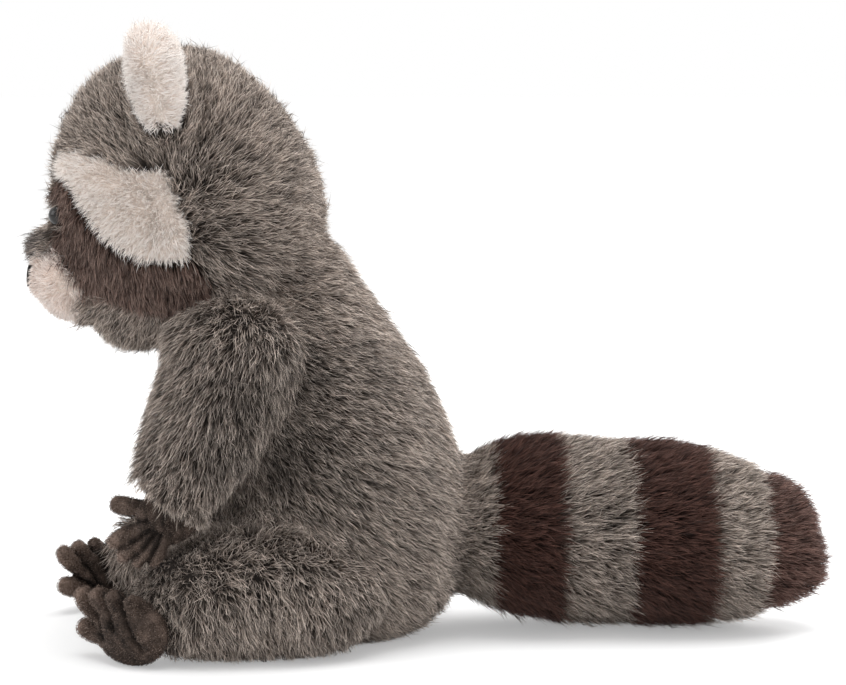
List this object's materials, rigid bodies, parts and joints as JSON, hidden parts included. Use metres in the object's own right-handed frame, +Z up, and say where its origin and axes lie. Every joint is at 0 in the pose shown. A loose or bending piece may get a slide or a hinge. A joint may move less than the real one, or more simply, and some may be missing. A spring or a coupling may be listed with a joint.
{
  "type": "plush raccoon",
  "caption": "Soft toy raccoon sitting up with its arms forward, a masked face, suede paws and a fat ringed tail lying behind it.",
  "frame": {"origin": "centre of the toy's bounding box, at the floor it sits on", "axes": "+Z up, +X from the face toward the tail's tip, +Y toward the toy's own right side"},
  "size_m": [0.3218, 0.1436, 0.242],
  "materials": {
    "grey_pile": "long grey-brown pile with dark roots and pale tips",
    "brown_pile": "long dark brown pile",
    "cream_pile": "short dense cream pile",
    "brown_suede": "suede with a short nap",
    "black_thread": "satin stitch",
    "eye_gloss": "polished"
  },
  "bodies": {
    "root": {"head": "grey_pile", "torso": "grey_pile", "snout_bridge": "grey_pile", "arm_left": "grey_pile", "arm_right": "grey_pile", "leg_left": "grey_pile", "leg_right": "grey_pile", "tail_band_1": "grey_pile", "tail_band_3": "grey_pile", "tail_band_5": "grey_pile", "tail_band_2": "brown_pile", "tail_band_4": "brown_pile", "tail_band_6": "brown_pile", "mask_left": "brown_pile", "mask_right": "brown_pile", "cheek_patch_left": "cream_pile", "cheek_patch_right": "cream_pile", "muzzle": "cream_pile", "ear_left": "cream_pile", "ear_right": "cream_pile", "hand_left": "brown_suede", "hand_right": "brown_suede", "foot_left": "brown_suede", "foot_right": "brown_suede", "nose": "black_thread", "eye_left": "eye_gloss", "eye_right": "eye_gloss"}
  },
  "joints": []
}
